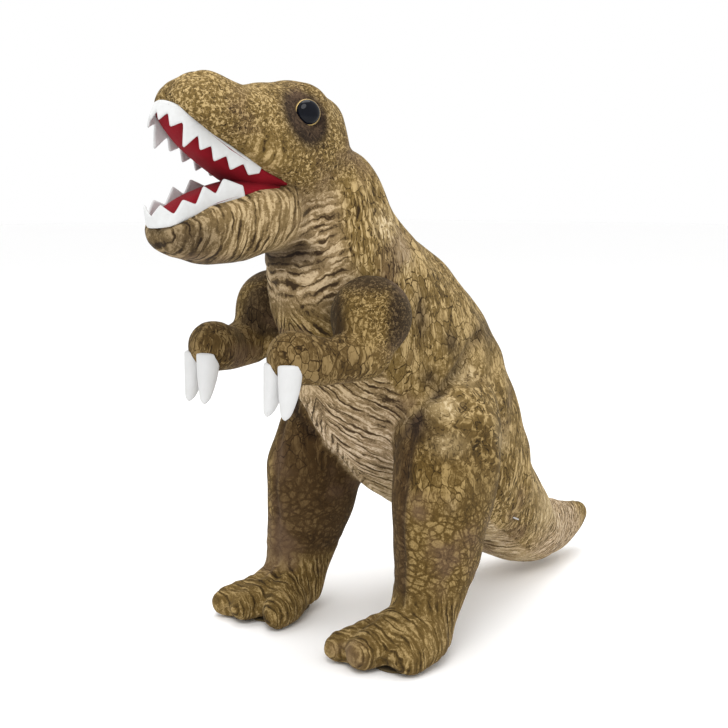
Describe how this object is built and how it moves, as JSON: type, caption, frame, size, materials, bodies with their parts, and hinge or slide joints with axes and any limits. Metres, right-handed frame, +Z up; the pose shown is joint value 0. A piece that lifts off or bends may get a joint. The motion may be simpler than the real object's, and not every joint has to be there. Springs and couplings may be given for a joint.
{
  "type": "stuffed dinosaur",
  "caption": "Standing stuffed tyrannosaur with printed velour skin, open red mouth, felt teeth, small clawed arms and a tail that props it up.",
  "frame": {"origin": "on the floor, below the middle of the whole toy", "axes": "+X towards the toy's left, +Y towards its tail, +Z up"},
  "size_m": [0.186, 0.4007, 0.3427],
  "materials": {
    "printed_velour": "short pile velour, printed with olive-brown scales",
    "belly_velour": "short pile velour, printed pale cream with dark lines",
    "sole_velour": "short pile velour, dark olive",
    "red_velour": "short pile velour, crimson",
    "white_felt": "matt felt",
    "white_velour": "short pile velour, white",
    "fibre_filling": "loose polyester fibre",
    "eye_plastic": "glossy black with a thin gold ring",
    "washer_plastic": "plain moulded",
    "clear_nylon": "translucent white thread"
  },
  "bodies": {
    "torso": {"side_panel_left": "printed_velour", "side_panel_right": "printed_velour", "belly_panel": "belly_velour", "body_stuffing": "fibre_filling"},
    "head": {"head_panel_left": "printed_velour", "head_panel_right": "printed_velour", "head_stuffing": "fibre_filling", "palate_lining": "red_velour", "upper_teeth": "white_felt", "eye_left": "eye_plastic", "eye_right": "eye_plastic", "eye_washer_left": "washer_plastic", "eye_washer_right": "washer_plastic"},
    "jaw": {"jaw_cover": "printed_velour", "jaw_stuffing": "fibre_filling", "mouth_floor_lining": "red_velour", "lower_teeth": "white_felt"},
    "arm_left": {"arm_cover_left": "printed_velour", "arm_stuffing_left": "fibre_filling", "claw_inner_left": "white_velour", "claw_outer_left": "white_velour"},
    "arm_right": {"arm_cover_right": "printed_velour", "arm_stuffing_right": "fibre_filling", "claw_inner_right": "white_velour", "claw_outer_right": "white_velour"},
    "leg_left": {"leg_outer_left": "printed_velour", "leg_inner_left": "printed_velour", "leg_stuffing_left": "fibre_filling", "sole_left": "sole_velour"},
    "leg_right": {"leg_outer_right": "printed_velour", "leg_inner_right": "printed_velour", "leg_stuffing_right": "fibre_filling", "sole_right": "sole_velour"},
    "tail": {"tail_panel_left": "printed_velour", "tail_panel_right": "printed_velour", "tail_stuffing": "fibre_filling", "tag_pin": "clear_nylon"}
  },
  "joints": [
    {"name": "neck_turn", "type": "hinge", "parent": "torso", "child": "head", "pos_m": [0, -0.081, 0.253], "axis": [0, -0.4067, 0.9135], "range_deg": [-18, 18], "stiffness_Nm_per_rad": 1.2},
    {"name": "jaw_hinge", "type": "hinge", "parent": "head", "child": "jaw", "pos_m": [0, -0.12, 0.27], "axis": [1, 0, 0], "range_deg": [-1, 8], "stiffness_Nm_per_rad": 2},
    {"name": "shoulder_left", "type": "hinge", "parent": "torso", "child": "arm_left", "pos_m": [0.042, -0.088, 0.208], "axis": [1, 0, 0], "range_deg": [-20, 20], "stiffness_Nm_per_rad": 0.6},
    {"name": "shoulder_right", "type": "hinge", "parent": "torso", "child": "arm_right", "pos_m": [-0.042, -0.088, 0.208], "axis": [1, 0, 0], "range_deg": [-20, 20], "stiffness_Nm_per_rad": 0.6},
    {"name": "hip_left", "type": "hinge", "parent": "torso", "child": "leg_left", "pos_m": [0.054, -0.022, 0.13], "axis": [1, 0, 0], "range_deg": [-10, 10], "stiffness_Nm_per_rad": 14},
    {"name": "hip_right", "type": "hinge", "parent": "torso", "child": "leg_right", "pos_m": [-0.054, -0.022, 0.13], "axis": [1, 0, 0], "range_deg": [-10, 10], "stiffness_Nm_per_rad": 14},
    {"name": "tail_sway", "type": "hinge", "parent": "torso", "child": "tail", "pos_m": [0, 0.066, 0.076], "axis": [0, 0, 1], "range_deg": [-14, 14], "stiffness_Nm_per_rad": 4}
  ]
}
